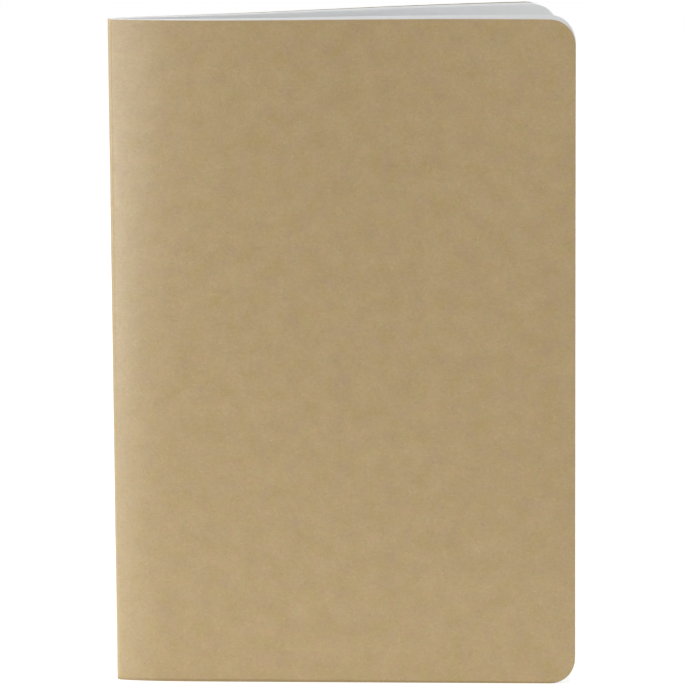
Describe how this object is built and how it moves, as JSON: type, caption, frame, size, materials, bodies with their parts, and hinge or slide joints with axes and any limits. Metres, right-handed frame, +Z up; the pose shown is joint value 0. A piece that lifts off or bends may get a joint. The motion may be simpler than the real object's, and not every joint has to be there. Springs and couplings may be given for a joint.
{
  "type": "stapled exercise book",
  "caption": "Thin stapled exercise book, standing slightly open: plain kraft card cover, folded paper leaves, rounded fore-edge corners. Covers and leaves turn about the spine.",
  "frame": {"origin": "middle of the footprint of the slightly open book, on the surface that it stands on", "axes": "+Z up along the spine, +X from the spine to the fore-edge, -Y towards the front cover's side"},
  "size_m": [0.1444, 0.0538, 0.21],
  "materials": {
    "kraft_card": "matte",
    "writing_paper": "matte",
    "staple_wire": "satin"
  },
  "bodies": {
    "spine": {"cover_spine": "kraft_card", "sheet_fold_01": "writing_paper", "sheet_fold_02": "writing_paper", "sheet_fold_03": "writing_paper", "sheet_fold_04": "writing_paper", "sheet_fold_05": "writing_paper", "sheet_fold_06": "writing_paper", "sheet_fold_07": "writing_paper", "sheet_fold_08": "writing_paper", "sheet_fold_09": "writing_paper", "sheet_fold_10": "writing_paper", "sheet_fold_11": "writing_paper", "sheet_fold_12": "writing_paper", "upper_staple": "staple_wire", "lower_staple": "staple_wire"},
    "front_cover": {"front_cover": "kraft_card"},
    "leaf_01": {"leaf_01": "writing_paper"},
    "leaf_02": {"leaf_02": "writing_paper"},
    "leaf_03": {"leaf_03": "writing_paper"},
    "leaf_04": {"leaf_04": "writing_paper"},
    "leaf_05": {"leaf_05": "writing_paper"},
    "leaf_06": {"leaf_06": "writing_paper"},
    "leaf_07": {"leaf_07": "writing_paper"},
    "leaf_08": {"leaf_08": "writing_paper"},
    "leaf_09": {"leaf_09": "writing_paper"},
    "leaf_10": {"leaf_10": "writing_paper"},
    "leaf_11": {"leaf_11": "writing_paper"},
    "leaf_12": {"leaf_12": "writing_paper"},
    "back_cover": {"back_cover": "kraft_card"},
    "leaf_24": {"leaf_24": "writing_paper"},
    "leaf_23": {"leaf_23": "writing_paper"},
    "leaf_22": {"leaf_22": "writing_paper"},
    "leaf_21": {"leaf_21": "writing_paper"},
    "leaf_20": {"leaf_20": "writing_paper"},
    "leaf_19": {"leaf_19": "writing_paper"},
    "leaf_18": {"leaf_18": "writing_paper"},
    "leaf_17": {"leaf_17": "writing_paper"},
    "leaf_16": {"leaf_16": "writing_paper"},
    "leaf_15": {"leaf_15": "writing_paper"},
    "leaf_14": {"leaf_14": "writing_paper"},
    "leaf_13": {"leaf_13": "writing_paper"}
  },
  "joints": [
    {"name": "front_cover_turn", "type": "hinge", "parent": "spine", "child": "front_cover", "pos_m": [-0.06999, 0, 0.105], "axis": [0, 0, -1], "range_deg": [-10, 125]},
    {"name": "leaf_01_turn", "type": "hinge", "parent": "spine", "child": "leaf_01", "pos_m": [-0.06999, 0, 0.105], "axis": [0, 0, -1], "range_deg": [-9.6, 120]},
    {"name": "leaf_02_turn", "type": "hinge", "parent": "spine", "child": "leaf_02", "pos_m": [-0.06999, 0, 0.105], "axis": [0, 0, -1], "range_deg": [-9.21, 115.11]},
    {"name": "leaf_03_turn", "type": "hinge", "parent": "spine", "child": "leaf_03", "pos_m": [-0.06999, 0, 0.105], "axis": [0, 0, -1], "range_deg": [-8.82, 110.23]},
    {"name": "leaf_04_turn", "type": "hinge", "parent": "spine", "child": "leaf_04", "pos_m": [-0.06999, 0, 0.105], "axis": [0, 0, -1], "range_deg": [-8.43, 105.34]},
    {"name": "leaf_05_turn", "type": "hinge", "parent": "spine", "child": "leaf_05", "pos_m": [-0.06999, 0, 0.105], "axis": [0, 0, -1], "range_deg": [-8.04, 100.46]},
    {"name": "leaf_06_turn", "type": "hinge", "parent": "spine", "child": "leaf_06", "pos_m": [-0.06999, 0, 0.105], "axis": [0, 0, -1], "range_deg": [-7.65, 95.57]},
    {"name": "leaf_07_turn", "type": "hinge", "parent": "spine", "child": "leaf_07", "pos_m": [-0.06999, 0, 0.105], "axis": [0, 0, -1], "range_deg": [-7.26, 90.68]},
    {"name": "leaf_08_turn", "type": "hinge", "parent": "spine", "child": "leaf_08", "pos_m": [-0.06999, 0, 0.105], "axis": [0, 0, -1], "range_deg": [-6.86, 85.8]},
    {"name": "leaf_09_turn", "type": "hinge", "parent": "spine", "child": "leaf_09", "pos_m": [-0.06999, 0, 0.105], "axis": [0, 0, -1], "range_deg": [-6.47, 80.91]},
    {"name": "leaf_10_turn", "type": "hinge", "parent": "spine", "child": "leaf_10", "pos_m": [-0.06999, 0, 0.105], "axis": [0, 0, -1], "range_deg": [-6.08, 76.02]},
    {"name": "leaf_11_turn", "type": "hinge", "parent": "spine", "child": "leaf_11", "pos_m": [-0.06999, 0, 0.105], "axis": [0, 0, -1], "range_deg": [-5.69, 71.14]},
    {"name": "leaf_12_turn", "type": "hinge", "parent": "spine", "child": "leaf_12", "pos_m": [-0.06999, 0, 0.105], "axis": [0, 0, -1], "range_deg": [-5.3, 66.25]},
    {"name": "back_cover_turn", "type": "hinge", "parent": "spine", "child": "back_cover", "pos_m": [-0.06999, 0, 0.105], "axis": [0, 0, 1], "range_deg": [-10, 125]},
    {"name": "leaf_24_turn", "type": "hinge", "parent": "spine", "child": "leaf_24", "pos_m": [-0.06999, 0, 0.105], "axis": [0, 0, 1], "range_deg": [-9.2, 115]},
    {"name": "leaf_23_turn", "type": "hinge", "parent": "spine", "child": "leaf_23", "pos_m": [-0.06999, 0, 0.105], "axis": [0, 0, 1], "range_deg": [-9.03, 112.84]},
    {"name": "leaf_22_turn", "type": "hinge", "parent": "spine", "child": "leaf_22", "pos_m": [-0.06999, 0, 0.105], "axis": [0, 0, 1], "range_deg": [-8.86, 110.68]},
    {"name": "leaf_21_turn", "type": "hinge", "parent": "spine", "child": "leaf_21", "pos_m": [-0.06999, 0, 0.105], "axis": [0, 0, 1], "range_deg": [-8.68, 108.52]},
    {"name": "leaf_20_turn", "type": "hinge", "parent": "spine", "child": "leaf_20", "pos_m": [-0.06999, 0, 0.105], "axis": [0, 0, 1], "range_deg": [-8.51, 106.36]},
    {"name": "leaf_19_turn", "type": "hinge", "parent": "spine", "child": "leaf_19", "pos_m": [-0.06999, 0, 0.105], "axis": [0, 0, 1], "range_deg": [-8.34, 104.21]},
    {"name": "leaf_18_turn", "type": "hinge", "parent": "spine", "child": "leaf_18", "pos_m": [-0.06999, 0, 0.105], "axis": [0, 0, 1], "range_deg": [-8.16, 102.05]},
    {"name": "leaf_17_turn", "type": "hinge", "parent": "spine", "child": "leaf_17", "pos_m": [-0.06999, 0, 0.105], "axis": [0, 0, 1], "range_deg": [-7.99, 99.89]},
    {"name": "leaf_16_turn", "type": "hinge", "parent": "spine", "child": "leaf_16", "pos_m": [-0.06999, 0, 0.105], "axis": [0, 0, 1], "range_deg": [-7.82, 97.73]},
    {"name": "leaf_15_turn", "type": "hinge", "parent": "spine", "child": "leaf_15", "pos_m": [-0.06999, 0, 0.105], "axis": [0, 0, 1], "range_deg": [-7.65, 95.57]},
    {"name": "leaf_14_turn", "type": "hinge", "parent": "spine", "child": "leaf_14", "pos_m": [-0.06999, 0, 0.105], "axis": [0, 0, 1], "range_deg": [-7.47, 93.41]},
    {"name": "leaf_13_turn", "type": "hinge", "parent": "spine", "child": "leaf_13", "pos_m": [-0.06999, 0, 0.105], "axis": [0, 0, 1], "range_deg": [-7.3, 91.25]}
  ],
  "couplings": [
    {"joint": "leaf_01_turn", "follows": "front_cover_turn", "ratio": 0.96},
    {"joint": "leaf_02_turn", "follows": "front_cover_turn", "ratio": 0.92091},
    {"joint": "leaf_03_turn", "follows": "front_cover_turn", "ratio": 0.88182},
    {"joint": "leaf_04_turn", "follows": "front_cover_turn", "ratio": 0.84273},
    {"joint": "leaf_05_turn", "follows": "front_cover_turn", "ratio": 0.80364},
    {"joint": "leaf_06_turn", "follows": "front_cover_turn", "ratio": 0.76455},
    {"joint": "leaf_07_turn", "follows": "front_cover_turn", "ratio": 0.72545},
    {"joint": "leaf_08_turn", "follows": "front_cover_turn", "ratio": 0.68636},
    {"joint": "leaf_09_turn", "follows": "front_cover_turn", "ratio": 0.64727},
    {"joint": "leaf_10_turn", "follows": "front_cover_turn", "ratio": 0.60818},
    {"joint": "leaf_11_turn", "follows": "front_cover_turn", "ratio": 0.56909},
    {"joint": "leaf_12_turn", "follows": "front_cover_turn", "ratio": 0.53},
    {"joint": "leaf_24_turn", "follows": "back_cover_turn", "ratio": 0.92},
    {"joint": "leaf_23_turn", "follows": "back_cover_turn", "ratio": 0.90273},
    {"joint": "leaf_22_turn", "follows": "back_cover_turn", "ratio": 0.88545},
    {"joint": "leaf_21_turn", "follows": "back_cover_turn", "ratio": 0.86818},
    {"joint": "leaf_20_turn", "follows": "back_cover_turn", "ratio": 0.85091},
    {"joint": "leaf_19_turn", "follows": "back_cover_turn", "ratio": 0.83364},
    {"joint": "leaf_18_turn", "follows": "back_cover_turn", "ratio": 0.81636},
    {"joint": "leaf_17_turn", "follows": "back_cover_turn", "ratio": 0.79909},
    {"joint": "leaf_16_turn", "follows": "back_cover_turn", "ratio": 0.78182},
    {"joint": "leaf_15_turn", "follows": "back_cover_turn", "ratio": 0.76455},
    {"joint": "leaf_14_turn", "follows": "back_cover_turn", "ratio": 0.74727},
    {"joint": "leaf_13_turn", "follows": "back_cover_turn", "ratio": 0.73}
  ]
}
